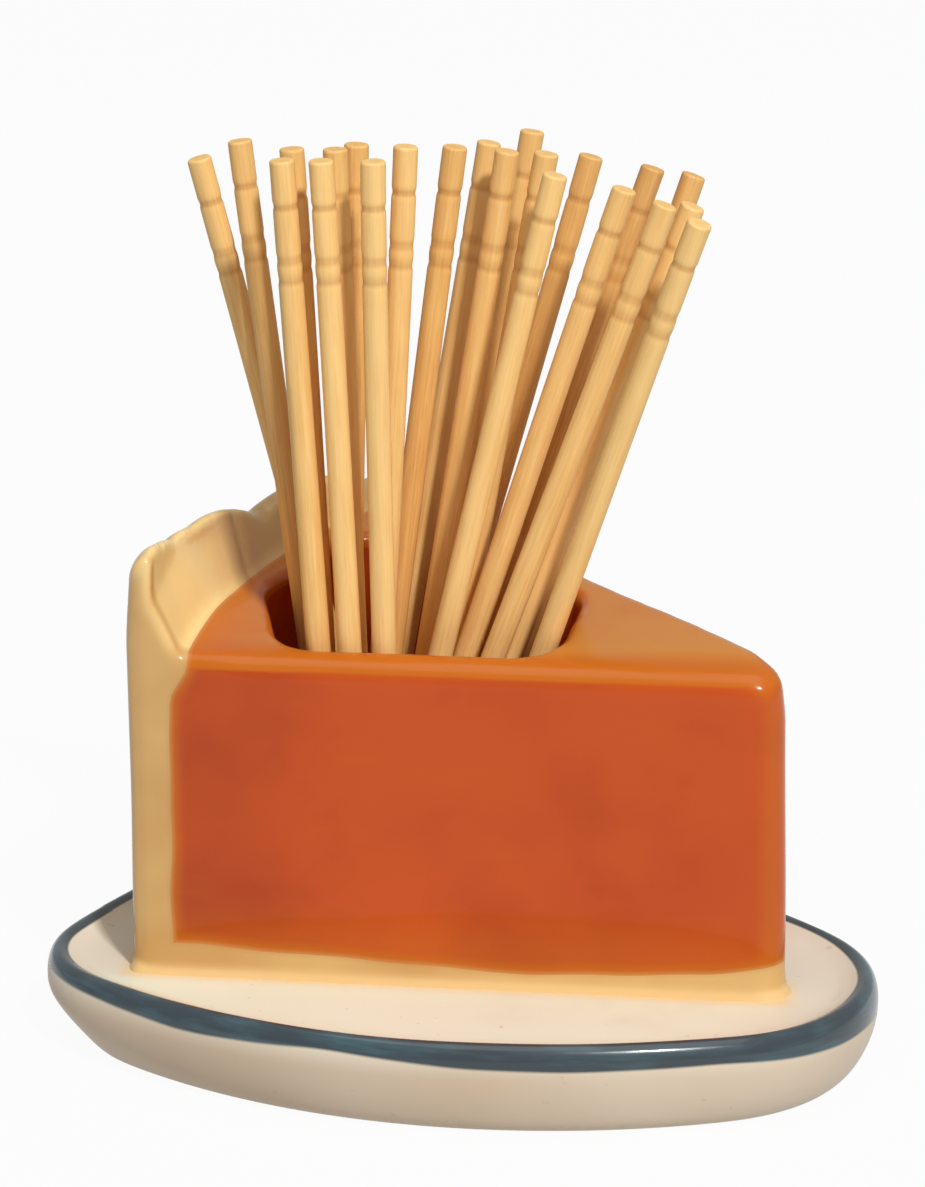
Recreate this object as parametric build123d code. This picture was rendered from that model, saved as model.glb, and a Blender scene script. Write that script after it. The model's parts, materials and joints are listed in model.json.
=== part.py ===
"""Toothpick holder shaped like a slice of pie on a small plate. Millimetres, +Z up."""
import math
import os

from build123d import *

# Plate
PLATE_HEIGHT = 8.0
PLATE_DISH = 1.0
PLATE_RIM_WIDTH = 2.3
PLATE_FOOT_ROUND = 4.0
PLATE_RIM_ROUND = 0.75
# Corners of the plate before rounding (right, back, left), their radii, and the side's bulge after each
PLATE_CORNERS = ((42.0, -12.3), (-15.4, 34.2), (-37.0, -11.8))
PLATE_CORNER_RADII = (16.5, 15.0, 12.0)
PLATE_BULGES = (5.2, 2.0, 16.5)

# Crust: outer radius, and width straight across from one cut face to the other
CRUST_RADIUS = 56.9
CRUST_WIDTH = 41.7
CRUST_WALL = 4.5
CRUST_BOTTOM = 2.2
CRUST_PEAK_Z = 42.4
CRUST_CORNER_ROUND = 1.2
# The inner side slopes out above the filling, up to a thinner rim
CRUST_RIM = 2.3
CRUST_SLOPE_HEIGHT = 4.4
# Flutes along the middle of the wall
FLUTE_FIRST = 0.9
FLUTE_PITCH = 14.6
FLUTE_DEPTH = 1.6
FLUTE_ROUND = 2.1

# Slice, set out from the outer end of its near cut face to the corner where both cut faces would meet
SLICE_BACK_X = -27.05
SLICE_CORNER_X = SLICE_BACK_X + CRUST_RADIUS
SLICE_CORNER_Y = -12.66
SLICE_ANGLE = math.degrees(2 * math.asin(CRUST_WIDTH / 2 / CRUST_RADIUS))
SLICE_NOSE_RADIUS = 2.2
SLICE_BASE_Z = PLATE_HEIGHT - PLATE_DISH

# Filling
FILLING_NEAR_HEIGHT = 27.4
FILLING_TILT = 8.5
FILLING_EDGE_ROUND = 1.3
LUTING_GAP = 0.05
# How far cutting tools reach past the filling, and past a face that they cut through
TOOL_REACH = 12.0
TOOL_OVERRUN = 1.0

# Well in the filling, set out from a line at a share of the radius in from the crust's outer end
WELL_SHARE = 0.246
WELL_LINE_X = SLICE_BACK_X + WELL_SHARE * CRUST_RADIUS
WELL_FLOOR = 0.8
WELL_OUTLINE = ((-1.75, -9.8), (20.65, -9.8), (21.85, 2.4), (9.45, 13.4), (0.45, 13.4), (-4.95, 2.0))
WELL_CORNER_RADIUS = 4.5
WELL_LIP_ROUND = 0.8

# Toothpick
PICK_LENGTH = 65.0
PICK_RADIUS = 1.0
PICK_TIP_RADIUS = 0.25
PICK_TAPER = 9.0
PICK_HEAD_CHAMFER = 0.15
PICK_GROOVES = (9.6, 8.0, 3.7)
PICK_GROOVE_DEPTH = 0.15
PICK_GROOVE_WIDTH = 0.6
PICK_FOOT_CLEARANCE = 0.2

# Plan places of the picks' points and of their heads, row by row, from the well's middle line
PICK_FEET = (
    (2.35, -6.4), (4.55, -6.4), (6.85, -6.4),
    (1.95, -3.7), (4.25, -3.7), (5.45, -3.7), (6.85, -3.7),
    (11.35, -2.0),
    (2.15, -1.0), (4.25, -1.0), (5.45, -1.0), (7.45, -1.0),
    (1.55, 1.7), (3.05, 1.7), (5.45, 1.7), (7.85, 1.7),
    (2.75, 4.4),
    (4.55, 4.4), (6.75, 4.4),
    (8.75, 2.6),
    (6.85, 7.4),
    (4.85, 7.6),
)
PICK_HEADS = (
    (-0.85, -11.5), (2.25, -11.5), (6.45, -11.5),
    (-0.85, -6.8), (2.65, -6.8), (20.25, -6.8), (28.95, -6.8),
    (32.15, -12.5),
    (3.95, -4.2), (7.95, -4.2), (25.55, -4.2), (30.95, -4.2),
    (-6.05, -1.2), (11.55, -1.2), (15.75, -1.2), (18.95, -1.2),
    (13.75, 3.2),
    (21.85, 6.0), (26.95, 6.0),
    (30.25, 6.0),
    (16.75, 8.2),
    (-9.55, -0.5),
)


def edges_at(part, z, tolerance=0.02):
    """Edges that lie wholly at one height."""
    found = ShapeList()
    for edge in part.edges():
        box = edge.bounding_box()
        if abs(box.min.Z - z) < tolerance and abs(box.max.Z - z) < tolerance:
            found.append(edge)
    return found


def slice_point(radius, angle):
    """Plan point of the slice at a radius and an angle from its near cut face."""
    turn = math.radians(angle)
    x = SLICE_CORNER_X - radius * math.cos(turn)
    y = SLICE_CORNER_Y + radius * math.sin(turn)
    return (x, y)


def radius_of(point):
    """Distance in plan from the slice's corner."""
    return math.dist((point.X, point.Y), slice_point(0, 0))


def sector(inner, outer, first, last):
    """Flat piece of a ring, or of a disc when the inner radius is zero."""
    middle = (first + last) / 2
    far_arc = ThreePointArc(slice_point(outer, first), slice_point(outer, middle), slice_point(outer, last))
    if inner > 0:
        back = Line(slice_point(outer, last), slice_point(inner, last))
        start, end = slice_point(inner, last), slice_point(inner, first)
        near_arc = ThreePointArc(start, slice_point(inner, middle), end)
        lines = [far_arc, back, near_arc, Line(end, slice_point(outer, first))]
    else:
        corner = slice_point(0, 0)
        lines = [far_arc, Line(slice_point(outer, last), corner), Line(corner, slice_point(outer, first))]
    return make_face(lines)


def standing(face, low, high):
    """Upright solid over a flat outline between two heights."""
    return extrude(Pos(0, 0, low) * face, amount=high - low, dir=(0, 0, 1))


def filling_slope():
    """Plane of the filling's top, with its origin above the slice's corner."""
    turn = math.radians(FILLING_TILT)
    corner = (SLICE_CORNER_X, SLICE_CORNER_Y, SLICE_BASE_Z + FILLING_NEAR_HEIGHT)
    return Plane(origin=corner, z_dir=(0, -math.sin(turn), math.cos(turn)))


def nosed_wedge(radius):
    """Plan outline of the slice with its tip rounded."""
    face = sector(0, radius, 0, SLICE_ANGLE)
    corner = face.vertices().sort_by(Axis.X)[-1]
    return fillet(corner, SLICE_NOSE_RADIUS)


def plate_outline(inset=0):
    """Rounded triangle with bulging sides: the overlap of three discs, with its corners rounded."""
    face = None
    for number, bulge in enumerate(PLATE_BULGES):
        start = PLATE_CORNERS[number]
        end = PLATE_CORNERS[(number + 1) % len(PLATE_CORNERS)]
        length = math.dist(start, end)
        radius = (length**2 / 4 + bulge**2) / (2 * bulge)
        x = (start[0] + end[0]) / 2 - (radius - bulge) * (end[1] - start[1]) / length
        y = (start[1] + end[1]) / 2 + (radius - bulge) * (end[0] - start[0]) / length
        disc = Pos(x, y) * Circle(radius - inset)
        face = disc if face is None else face & disc
    for corner, radius in zip(PLATE_CORNERS, PLATE_CORNER_RADII):
        nearest = face.vertices().sort_by_distance(Vector(*corner))[0]
        face = fillet(nearest, radius - inset)
    return face


def make_plate():
    body = standing(plate_outline(), 0, PLATE_HEIGHT)
    body = fillet(edges_at(body, 0), PLATE_FOOT_ROUND)
    dish = plate_outline(PLATE_RIM_WIDTH)
    body = body - standing(dish, SLICE_BASE_Z, PLATE_HEIGHT + TOOL_OVERRUN)
    body = fillet(edges_at(body, PLATE_HEIGHT), PLATE_RIM_ROUND)
    return body


def make_crust():
    wedge = nosed_wedge(CRUST_RADIUS)
    bottom = standing(wedge, SLICE_BASE_Z, SLICE_BASE_Z + CRUST_BOTTOM)
    inner = CRUST_RADIUS - CRUST_WALL
    wall_top = CRUST_PEAK_Z - FLUTE_DEPTH - FLUTE_ROUND
    crust = bottom + standing(sector(inner, CRUST_RADIUS, 0, SLICE_ANGLE), SLICE_BASE_Z, wall_top)
    # Each flute is a rounded wheel set across the wall, kept to its own share of the arc
    middle = CRUST_RADIUS - CRUST_WALL / 2
    first_angle = math.degrees(FLUTE_FIRST / middle)
    pitch_angle = math.degrees(FLUTE_PITCH / middle)
    half_pitch = middle * math.sin(math.radians(pitch_angle / 2))
    wheel_radius = (half_pitch**2 + FLUTE_DEPTH**2) / (2 * FLUTE_DEPTH)
    wheel = Cylinder(wheel_radius, CRUST_WALL)
    wheel = fillet(wheel.edges().filter_by(GeomType.CIRCLE), FLUTE_ROUND)
    flutes = round((SLICE_ANGLE - first_angle) / pitch_angle) + 1
    for number in range(flutes):
        angle = first_angle + number * pitch_angle
        x, y = slice_point(middle, angle)
        outward = (-math.cos(math.radians(angle)), math.sin(math.radians(angle)), 0)
        placed = Plane(origin=(x, y, CRUST_PEAK_Z - wheel_radius), x_dir=(0, 0, 1), z_dir=outward) * wheel
        first = max(0, angle - pitch_angle / 2)
        last = min(SLICE_ANGLE, angle + pitch_angle / 2)
        share = sector(inner - TOOL_OVERRUN, CRUST_RADIUS + TOOL_OVERRUN, first, last)
        lobe = placed & standing(share, wall_top - FLUTE_ROUND, CRUST_PEAK_Z)
        crust = crust + lobe
    # The inner side follows the filling's top, slopes out, then stands straight behind the rim
    slope = filling_slope()
    rim_inner = CRUST_RADIUS - CRUST_RIM
    sloped_side = slope * Pos(0, 0, CRUST_SLOPE_HEIGHT / 2) * Cone(inner, rim_inner, CRUST_SLOPE_HEIGHT)
    straight_side = slope * Pos(0, 0, CRUST_SLOPE_HEIGHT + TOOL_REACH / 2) * Cylinder(rim_inner, TOOL_REACH)
    crust = crust - sloped_side - straight_side
    outer_corners = wedge.vertices().sort_by(Axis.X)[:2]
    rounded = fillet(outer_corners, CRUST_CORNER_ROUND)
    return crust & standing(rounded, SLICE_BASE_Z, CRUST_PEAK_Z)


def make_filling():
    low = SLICE_BASE_Z + CRUST_BOTTOM
    high = SLICE_BASE_Z + FILLING_NEAR_HEIGHT + TOOL_REACH
    back_radius = CRUST_RADIUS - CRUST_WALL - LUTING_GAP
    slope = filling_slope()
    above = slope * Pos(0, 0, TOOL_REACH) * Box(4 * CRUST_RADIUS, 4 * CRUST_RADIUS, 2 * TOOL_REACH)
    body = standing(nosed_wedge(back_radius), low, high) - above
    # The top is rounded along both cut faces and the nose, and stays square against the crust
    top = body.faces().sort_by(Axis.Z)[-1]
    along_crust = top.edges().sort_by(lambda edge: radius_of(edge @ 0.5))[-1]
    body = fillet(top.edges() - [along_crust], FILLING_EDGE_ROUND)
    mouth = make_face(Polyline([Vector(WELL_LINE_X + x, y) for x, y in WELL_OUTLINE], close=True))
    mouth = fillet(mouth.vertices(), WELL_CORNER_RADIUS)
    body = body - standing(mouth, low + WELL_FLOOR, high)
    lip = body.faces().filter_by(slope).sort_by(Axis.Z)[-1]
    return fillet(lip.inner_wires()[0].edges(), WELL_LIP_ROUND)


def make_pick():
    """One toothpick standing on its point at the origin."""
    points = [(0, 0), (PICK_TIP_RADIUS, 0), (PICK_RADIUS, PICK_TAPER)]
    for below_head in PICK_GROOVES:
        z = PICK_LENGTH - below_head
        points.append((PICK_RADIUS, z - PICK_GROOVE_WIDTH / 2))
        points.append((PICK_RADIUS - PICK_GROOVE_DEPTH, z))
        points.append((PICK_RADIUS, z + PICK_GROOVE_WIDTH / 2))
    points.append((PICK_RADIUS, PICK_LENGTH - PICK_HEAD_CHAMFER))
    points.append((PICK_RADIUS - PICK_HEAD_CHAMFER, PICK_LENGTH))
    points.append((0, PICK_LENGTH))
    profile = Plane.XZ * make_face(Polyline([Vector(r, z) for r, z in points], close=True))
    return revolve(profile, Axis.Z)


def place_pick(pick, foot, head):
    across_x = head[0] - foot[0]
    across_y = head[1] - foot[1]
    rise = math.sqrt(PICK_LENGTH**2 - across_x**2 - across_y**2)
    foot_z = SLICE_BASE_Z + CRUST_BOTTOM + WELL_FLOOR + PICK_FOOT_CLEARANCE
    place = (WELL_LINE_X + foot[0], foot[1], foot_z)
    return Plane(origin=place, z_dir=Vector(across_x, across_y, rise)) * pick


def main():
    parts = {"plate": make_plate(), "crust": make_crust(), "filling": make_filling()}
    pick = make_pick()
    for number, (foot, head) in enumerate(zip(PICK_FEET, PICK_HEADS), 1):
        parts[f"toothpick_{number:02d}"] = place_pick(pick, foot, head)
    # The frame's origin is under the middle of the plate
    middle = parts["plate"].bounding_box().center()
    os.makedirs("parts", exist_ok=True)
    for name, part in parts.items():
        placed = Pos(-middle.X, -middle.Y, 0) * part
        placed.label = name
        export_step(placed, f"parts/{name}.step")
        box = placed.bounding_box()
        print(name, placed.is_valid, len(placed.solids()), [round(v, 2) for v in (*box.min, *box.max)])


main()
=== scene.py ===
"""Toothpick holder shaped like a slice of pie on a small plate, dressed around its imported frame."""
import json
import math

import bmesh
import bpy
import numpy as np
from bpy.props import FloatProperty, FloatVectorProperty, IntProperty, PointerProperty
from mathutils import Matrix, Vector, geometry, kdtree, noise


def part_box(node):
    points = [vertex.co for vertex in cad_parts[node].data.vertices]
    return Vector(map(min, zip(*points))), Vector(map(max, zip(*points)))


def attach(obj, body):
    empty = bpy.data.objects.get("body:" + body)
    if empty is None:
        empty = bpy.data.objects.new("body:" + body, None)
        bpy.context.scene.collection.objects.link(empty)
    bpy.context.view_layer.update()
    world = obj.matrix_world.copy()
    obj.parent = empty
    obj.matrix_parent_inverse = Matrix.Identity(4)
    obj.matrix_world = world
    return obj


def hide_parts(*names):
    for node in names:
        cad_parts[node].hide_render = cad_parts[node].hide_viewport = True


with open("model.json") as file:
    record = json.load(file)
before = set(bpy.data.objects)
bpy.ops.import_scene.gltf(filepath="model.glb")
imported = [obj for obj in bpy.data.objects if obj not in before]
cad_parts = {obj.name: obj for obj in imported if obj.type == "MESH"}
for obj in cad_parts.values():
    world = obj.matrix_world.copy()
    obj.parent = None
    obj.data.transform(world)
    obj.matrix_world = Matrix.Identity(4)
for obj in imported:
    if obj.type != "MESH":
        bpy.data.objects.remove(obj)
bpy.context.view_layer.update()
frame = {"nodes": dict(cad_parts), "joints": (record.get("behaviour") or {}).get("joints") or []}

bl_info = {
    "name": "Pie slice toothpick holder",
    "version": (1, 0, 0),
    "blender": (4, 5, 0),
    "location": "3D View > Sidebar > Holder",
    "description": "Glazed slice, plate and toothpicks around the packed frame",
    "category": "Object",
}

MM = 0.001
HOLDER_BODY = "holder"
PICK_NODES = sorted(name for name in frame["nodes"] if name.startswith("toothpick"))
# How dark each pick is, in the order of their numbers: partly toasted wood, partly painted shade where a
# pick stands in the shadow of others
PICK_TONES_AND_SHADE = (
    0.30, 0.12, 0.05, 0.45, 0.48, 0.10, 0.28, 0.05, 0.62, 0.15, 0.25,
    0.10, 0.42, 0.62, 0.36, 0.32, 0.35, 0.78, 1.00, 0.80, 0.42, 0.22,
)


def srgb(*levels):
    """Linear colour for a colour given as it looks on a screen, from 0 to 255."""
    shares = [level / 255 for level in levels]
    return [share / 12.92 if share <= 0.04045 else ((share + 0.055) / 1.055) ** 2.4 for share in shares]


def length_property(name, description, default):
    return FloatProperty(name=name, description=description, default=default, unit="LENGTH", precision=5)


def angle_property(name, description, degrees):
    return FloatProperty(name=name, description=description, default=math.radians(degrees), subtype="ANGLE")


def power_property(name, description, watts):
    return FloatProperty(name=name, description=description, default=watts, subtype="POWER")


def colour_property(name, description, *levels):
    return FloatVectorProperty(
        name=name, description=description, default=srgb(*levels), subtype="COLOR", min=0, max=1)


class PlateSettings(bpy.types.PropertyGroup):
    foot_inset: length_property("Foot inset", "How far the foot draws in under the rim", 3.2 * MM)
    left_inset: length_property("Left inset", "Further draw of the foot at the left end", 2.6 * MM)
    right_inset: length_property("Right inset", "Further draw of the foot at the right end", 0.3 * MM)
    swell: length_property("Swell", "How far the rim swells at the back left", 0.4 * MM)
    rim_crest: length_property("Rim crest", "How far in from the edge the rim is highest", 1.0 * MM)
    rim_wobble: length_property("Rim wobble", "How far the hand-made rim strays", 0.18 * MM)
    band_inside: length_property("Band inside", "Painted width inside the rim's crest", 0.9 * MM)
    band_outside: length_property("Band outside", "Painted width down the outer wall", 2.1 * MM)
    floor: colour_property("Floor glaze", "Pale glaze of the floor before the slice", 240, 240, 216)
    clay: colour_property("Wall glaze", "Pale glaze of the rest of the plate", 236, 223, 202)
    # Warm tint for real smudges and mottles, and for painted shade down the wall
    clay_smudge_and_shade: colour_property("Wall shade", "Warm tint in the pale glaze", 198, 170, 138)
    band: colour_property("Band", "Paint of the rim band", 3, 46, 62)
    band_thin: colour_property("Thin band", "Paint where the brush left it thin", 50, 98, 110)
    band_edge: colour_property("Band edge", "Paint that gathered along the band's inner edge", 16, 26, 32)
    stain: colour_property("Stain", "Crust glaze that ran onto the plate round the slice", 238, 206, 150)


class SliceSettings(bpy.types.PropertyGroup):
    grain: length_property("Skin grain", "Size of the cells that the skin is rebuilt from", 0.36 * MM)
    soften: IntProperty(name="Soften", description="Passes that round the cast edges", default=14, min=0)
    flare: length_property("Base flare", "How far the glaze spreads at the base", 0.85 * MM)
    shoulder: length_property("Crust shoulder", "How far the crust's outside draws in at its top", 0.5 * MM)
    crust_lean: length_property("Crust lean", "How far the crust leans out towards its top", 0.2 * MM)
    lobe_lift: length_property("Lobe lift", "How much higher the crust's nearest lobe stands", 1.0 * MM)
    edge_fall: length_property("Edge fall", "How far the top falls towards the near cut face", 0.5 * MM)
    nose_fall: length_property("Nose fall", "How far the top falls towards the tip", 0.5 * MM)
    nose_lean: length_property("Nose lean", "How far the tip spreads towards its base", 0.45 * MM)
    ripple: length_property("Ripple", "Hand-made unevenness of the walls", 0.16 * MM)
    filling: colour_property("Filling glaze", "Orange of the cut faces", 200, 80, 24)
    # Also painted shade at the left of the cut faces
    filling_deep_and_shade: colour_property("Deep filling", "Orange where the glaze lies thick", 164, 58, 18)
    filling_top: colour_property("Filling edge", "Orange of the edges", 198, 106, 22)
    filling_flat: colour_property("Filling top", "Orange of the flat top", 206, 140, 58)
    crust: colour_property("Crust glaze", "Yellow of the crust's near end and outside", 205, 157, 93)
    # Also painted light on the crust's inner face
    crust_pale_and_lit: colour_property("Pale crust", "Crust inside the rim and under thin glaze", 254, 222, 150)
    # Also painted shade on the near end and a painted shadow inside the rim
    crust_toast_and_shade: colour_property("Toasted crust", "Brown tint on the crust", 188, 128, 66)
    foot: colour_property("Foot", "Pale glaze where the slice meets the plate", 234, 194, 134)


class PickSettings(bpy.types.PropertyGroup):
    radius: length_property("Radius", "Radius of a pick", 1.0 * MM)
    tip_radius: length_property("Tip radius", "Radius at the point", 0.25 * MM)
    taper: length_property("Taper", "Length of the pointed end", 9.0 * MM)
    groove_depth: length_property("Groove depth", "Depth of the rings at the head", 0.1 * MM)
    pale: colour_property("Pale wood", "Lightest wood", 252, 208, 134)
    warm: colour_property("Warm wood", "Usual wood", 232, 176, 98)
    # Also painted shade: the shaded share of each pick's tone and the shade in the grooves
    dark_and_shade: colour_property("Dark wood", "Toasted wood and deep grain", 190, 122, 52)


class StageSettings(bpy.types.PropertyGroup):
    azimuth: angle_property("Azimuth", "Camera angle round the holder", 7.36)
    elevation: angle_property("Elevation", "Camera angle above the table", 15.49)
    distance: length_property("Distance", "From the camera to the point it looks at", 0.350)
    aim: FloatVectorProperty(
        name="Aim", description="Point the camera looks at", unit="LENGTH",
        default=(-0.00090, 0.00043, 0.03666))
    lens: FloatProperty(name="Lens", description="Focal length in millimetres", default=127.4)
    key: power_property("Key light", "Power of the main lamp", 19.0)
    top: power_property("Top light", "Power of the wide lamp overhead", 7.0)
    sky: FloatProperty(name="Room light", description="Strength of the even light", default=0.18)


# Node helpers


class Wire:
    """A node socket that takes part in Python sums."""

    def __init__(self, board, socket):
        self.board = board
        self.socket = socket

    def sums(self, operation, first, second=None):
        inputs = {0: first} if second is None else {0: first, 1: second}
        return self.board.node("ShaderNodeMath", {"operation": operation}, inputs)

    def __add__(self, other):
        return self.sums("ADD", self, other)

    def __sub__(self, other):
        return self.sums("SUBTRACT", self, other)

    def __mul__(self, other):
        return self.sums("MULTIPLY", self, other)

    def __truediv__(self, other):
        return self.sums("DIVIDE", self, other)

    def __pow__(self, other):
        return self.sums("POWER", self, other)

    def __radd__(self, other):
        return self.sums("ADD", other, self)

    def __rsub__(self, other):
        return self.sums("SUBTRACT", other, self)

    def call(self, operation, other=None):
        """Math function of this value, such as SINE or MAXIMUM."""
        return self.sums(operation, self, other)

    def out(self, name):
        """Another output of the same node."""
        return Wire(self.board, self.socket.node.outputs[name])

    def step(self, low, high):
        """Smooth step from 0 at low to 1 at high."""
        return self.board.node(
            "ShaderNodeMapRange", {"interpolation_type": "SMOOTHSTEP"},
            {"Value": self, "From Min": low, "From Max": high})


class Board:
    """A node tree that is filled by calls."""

    def __init__(self, tree):
        self.tree = tree

    def node(self, kind, settings=None, inputs=None, out=None):
        """New node with its settings and inputs. Gives the named output, or else the first."""
        made = self.tree.nodes.new(kind)
        for name, value in (settings or {}).items():
            setattr(made, name, value)
        for name, value in (inputs or {}).items():
            socket = self.find(made.inputs, name)
            if isinstance(value, Wire):
                self.tree.links.new(value.socket, socket)
            elif hasattr(value, "__len__") and len(value) == 3 and socket.type == "RGBA":
                socket.default_value = (*value, 1)
            else:
                socket.default_value = value
        if out is not None:
            return Wire(self, self.find(made.outputs, out))
        in_use = [socket for socket in made.outputs if socket.enabled]
        return Wire(self, in_use[0]) if in_use else None

    @staticmethod
    def find(sockets, name):
        """Socket by its number, its identifier or the name it shows."""
        if isinstance(name, int):
            return sockets[name]
        named = [socket for socket in sockets if socket.identifier == name]
        named += [socket for socket in sockets if socket.name == name and socket.enabled]
        return named[0]

    def mix(self, share, first, second):
        """First colour, with a share of the second."""
        inputs = {"Factor_Float": share, "A_Color": first, "B_Color": second}
        return self.node("ShaderNodeMix", {"data_type": "RGBA"}, inputs, "Result_Color")

    def vector(self, operation, first, second=None, scale=None):
        given = {0: first, 1: second, "Scale": scale}
        inputs = {name: value for name, value in given.items() if value is not None}
        return self.node("ShaderNodeVectorMath", {"operation": operation}, inputs)

    def combine(self, x, y, z):
        return self.node("ShaderNodeCombineXYZ", None, {"X": x, "Y": y, "Z": z})

    def speckle(self, place, scale, detail=3.0, roughness=0.55):
        """Noise from 0 to 1 whose cells are 1/scale metres, or units, across."""
        inputs = {"Vector": place, "Scale": scale, "Detail": detail, "Roughness": roughness}
        return self.node("ShaderNodeTexNoise", None, inputs)


class Finish(Board):
    """A material with one main shader."""

    def __init__(self, name, constants):
        self.material = bpy.data.materials.new(name)
        self.material.use_nodes = True
        super().__init__(self.material.node_tree)
        self.shader = self.tree.nodes["Principled BSDF"]
        for socket, value in constants.items():
            self.shader.inputs[socket].default_value = value

    def place(self):
        return self.node("ShaderNodeTexCoord", None, None, "Object")

    def split(self, place):
        """The three parts of a place, in millimetres."""
        x = self.node("ShaderNodeSeparateXYZ", None, {"Vector": place}, "X")
        return x / MM, x.out("Y") / MM, x.out("Z") / MM

    def attribute(self, name):
        return self.node("ShaderNodeAttribute", {"attribute_name": name}, None, "Fac")

    def tint(self, share, colour):
        """Lay a share of a colour over the colour so far."""
        self.colour = self.mix(share, self.colour, colour)

    def feed(self, socket, wire):
        self.tree.links.new(wire.socket, self.shader.inputs[socket])

    def bump(self, height, strength, distance):
        inputs = {"Height": height, "Strength": strength, "Distance": distance}
        self.feed("Normal", self.node("ShaderNodeBump", None, inputs))


# Mesh helpers


def place_object(name, data, *materials):
    piece = bpy.data.objects.new(name, data)
    bpy.context.scene.collection.objects.link(piece)
    for material in materials:
        data.materials.append(material)
    return piece


def new_mesh(name, shell):
    mesh = bpy.data.meshes.new(name)
    shell.to_mesh(mesh)
    shell.free()
    return mesh


def finished_mesh(piece, name):
    """Plain mesh of an object with its modifiers applied. The object goes."""
    graph = bpy.context.evaluated_depsgraph_get()
    mesh = bpy.data.meshes.new_from_object(piece.evaluated_get(graph))
    bpy.data.objects.remove(piece)
    if not len(mesh.polygons):
        raise RuntimeError(f"{name} came out empty")
    mesh.name = name
    return mesh


def table_of(items, field, width, kind=float):
    """One field of many mesh items, a row for each."""
    flat = np.zeros(len(items) * width, kind)
    items.foreach_get(field, flat)
    return flat.reshape(-1, width)


def points_of(mesh):
    return table_of(mesh.vertices, "co", 3)


def normals_of(mesh):
    return table_of(mesh.vertex_normals, "vector", 3)


def finder_of(vertices):
    """Search tree that gives the nearest of the vertices by its number."""
    tree = kdtree.KDTree(len(vertices))
    for number, vertex in enumerate(vertices):
        tree.insert(vertex.co, number)
    tree.balance()
    return tree


def store(mesh, name, values):
    attribute = mesh.attributes.new(name, "FLOAT", "POINT")
    attribute.data.foreach_set("value", np.asarray(values, np.float32))


def ramp(value, low, high):
    """Smooth step, for arrays."""
    share = np.clip((np.asarray(value, float) - low) / (high - low), 0, 1)
    return share * share * (3 - 2 * share)


def wander(points, size, seed):
    """Smooth random values between about -1 and 1 at points in millimetres."""
    return np.array([noise.noise(Vector((x / size, y / size, z / size + seed))) for x, y, z in points])


def set_down(piece, body, slot, *nodes):
    """Tells the frame what the piece rides on and stands for. The slot, what it is finished as, is not
    used.
    """
    for polygon in piece.data.polygons:
        polygon.use_smooth = True
    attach(piece, body)
    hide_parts(*nodes)


# Packed sizes, in millimetres

FILLING_LOW, FILLING_HIGH = (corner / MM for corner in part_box("filling"))
CRUST_LOW, CRUST_HIGH = (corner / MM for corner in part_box("crust"))
PLATE_TOP_Z = (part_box("plate")[1] / MM).z
# Near cut face of the slice, and the plate's floor that the slice stands on
NEAR_Y = FILLING_LOW.y
BASE_Z = CRUST_LOW.z
# Radii of the crust's two faces, its width along the back, and where the cut faces would meet
CRUST_OUTSIDE = 56.9
CRUST_INSIDE = 52.35
CRUST_WIDTH = 41.7
CORNER = Vector((CRUST_LOW.x + CRUST_OUTSIDE, CRUST_LOW.y, 0))
SLICE_ANGLE = 2 * math.asin(CRUST_WIDTH / 2 / CRUST_OUTSIDE)
# Top of the filling at its near edge, and its rise towards the back
NEAR_TOP_Z = 34.4
TOP_SLOPE = math.tan(math.radians(8.5))


# Plate

RIM_POINTS = 420
PROFILE_STEPS = 5
# Window and spread of the smoothing along the rim line, in points
RIM_WINDOW = 12
RIM_SPREAD = 5.0
# Where round the plate the rim swells, and how widely, in radians
SWELL_TURN = 2.5
SWELL_SPREAD = 0.5
# Height below which the foot's ends are drawn in, in millimetres
DRAWN_HEIGHT = 5.5
# Sizes of the strays of the rim's height and of the wall, in millimetres
RIM_STRAY = 14
WALL_STRAY = 17
# Distance from the rim's crest that the flat parts are given, in millimetres
FAR_FROM_CREST = 8.0


def rim_line(settings):
    """Outer line of the plate and its outward normals, in millimetres, evenly spaced."""
    points = points_of(frame["nodes"]["plate"].data)[:, :2] / MM
    hull = points[geometry.convex_hull_2d([Vector(point) for point in points])]
    closed = np.vstack([hull, hull[:1]])
    reach = np.concatenate([[0], np.cumsum(np.linalg.norm(np.diff(closed, axis=0), axis=1))])
    even = np.linspace(0, reach[-1], RIM_POINTS, endpoint=False)
    weights = np.exp(-(np.arange(-RIM_WINDOW, RIM_WINDOW + 1) / RIM_SPREAD) ** 2)
    line = []
    for axis in (0, 1):
        run = np.interp(even, reach, closed[:, axis])
        wrapped = np.concatenate([run[-RIM_WINDOW:], run, run[:RIM_WINDOW]])
        line.append(np.convolve(wrapped, weights / weights.sum(), "valid"))
    line = np.stack(line, 1)
    along = np.roll(line, -1, 0) - np.roll(line, 1, 0)
    outward = np.stack([along[:, 1], -along[:, 0]], 1)
    outward /= np.linalg.norm(outward, axis=1)[:, None]
    turn = np.arctan2(line[:, 1], line[:, 0])
    swell = settings.swell / MM * np.exp(-((turn - SWELL_TURN) / SWELL_SPREAD) ** 2)
    return line + outward * swell[:, None], outward


def smooth_profile(knots, steps):
    """Points of a soft curve through the knots."""
    knots = np.array(knots, float)
    padded = np.vstack([2 * knots[0] - knots[1], knots, 2 * knots[-1] - knots[-2]])
    made = []
    for a, b, c, d in zip(padded, padded[1:], padded[2:], padded[3:]):
        for share in np.arange(steps) / steps:
            made.append(0.5 * (2 * b + (c - a) * share + (2 * a - 5 * b + 4 * c - d) * share**2
                               + (3 * b - a - 3 * c + d) * share**3))
    return np.vstack([made, knots[-1:]])


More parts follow.
